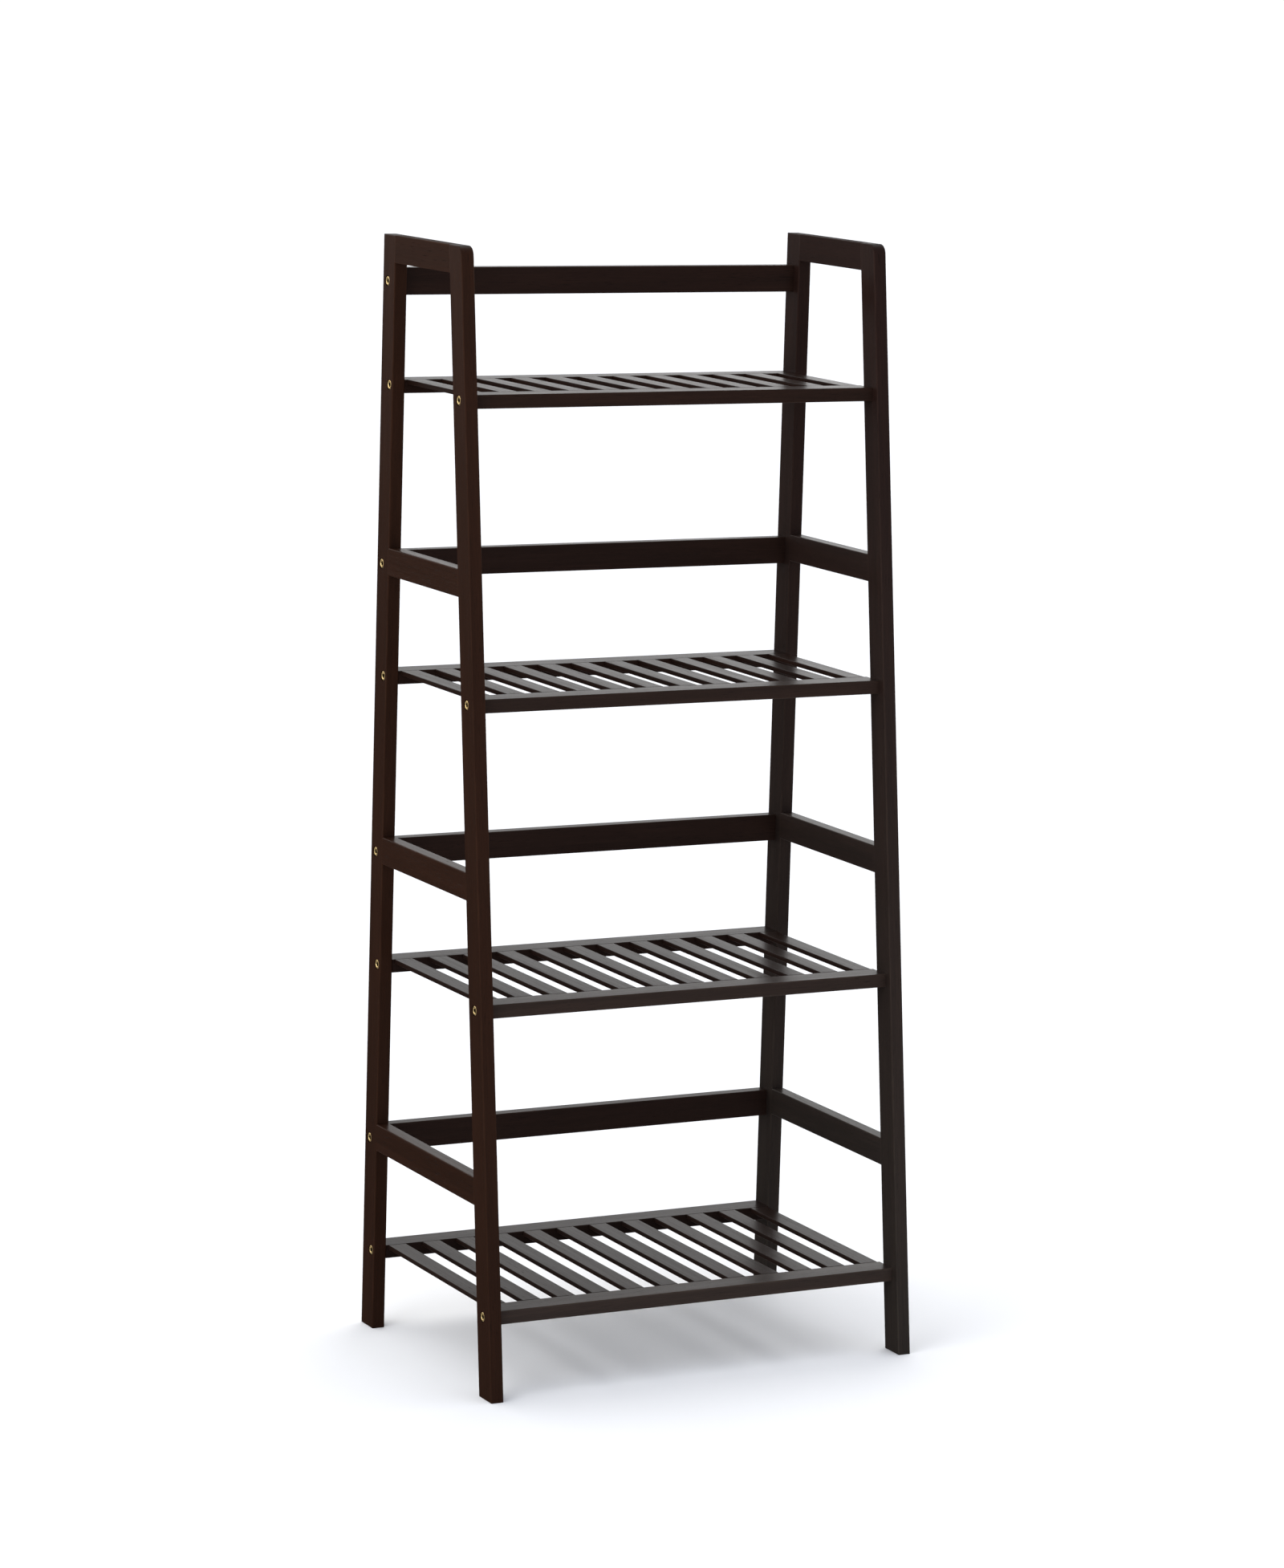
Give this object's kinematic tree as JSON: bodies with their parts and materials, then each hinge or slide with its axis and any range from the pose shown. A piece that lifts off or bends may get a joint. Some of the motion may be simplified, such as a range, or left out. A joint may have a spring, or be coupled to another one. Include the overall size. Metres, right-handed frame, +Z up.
{
  "type": "tiered plant stand",
  "caption": "Leaning ladder-style wooden plant stand with slatted shelves between open side frames, deeper towards the floor, held together with brass-coloured screws",
  "frame": {"origin": "on the floor, under the middle of the stand's bounding box", "axes": "+X to the stand's own right as seen from the front, +Y from the front to the rear, +Z up"},
  "size_m": [0.515, 0.34, 1.22],
  "materials": {
    "stained_wood": "dark espresso stain under a satin lacquer, fine grain along each bar",
    "brass_screw": "bright brass plating, lightly worn, dark hexagon sockets",
    "dowel_wood": "plain unfinished beech, hidden inside the joints"
  },
  "bodies": {
    "root": {"left_front_leg": "stained_wood", "left_rear_leg": "stained_wood", "left_top_rail": "stained_wood", "left_upper_side_rail": "stained_wood", "left_middle_side_rail": "stained_wood", "left_lower_side_rail": "stained_wood", "right_front_leg": "stained_wood", "right_rear_leg": "stained_wood", "right_top_rail": "stained_wood", "right_upper_side_rail": "stained_wood", "right_middle_side_rail": "stained_wood", "right_lower_side_rail": "stained_wood", "back_rail_1": "stained_wood", "back_rail_2": "stained_wood", "back_rail_3": "stained_wood", "back_rail_4": "stained_wood", "shelf_1_front_rail": "stained_wood", "shelf_1_rear_rail": "stained_wood", "shelf_1_slats": "stained_wood", "shelf_2_front_rail": "stained_wood", "shelf_2_rear_rail": "stained_wood", "shelf_2_slats": "stained_wood", "shelf_3_front_rail": "stained_wood", "shelf_3_rear_rail": "stained_wood", "shelf_3_slats": "stained_wood", "shelf_4_front_rail": "stained_wood", "shelf_4_rear_rail": "stained_wood", "shelf_4_slats": "stained_wood", "left_shelf_screws": "brass_screw", "left_back_rail_screws": "brass_screw", "right_shelf_screws": "brass_screw", "right_back_rail_screws": "brass_screw", "left_frame_dowels": "dowel_wood", "right_frame_dowels": "dowel_wood", "back_rail_dowels": "dowel_wood"}
  },
  "joints": []
}
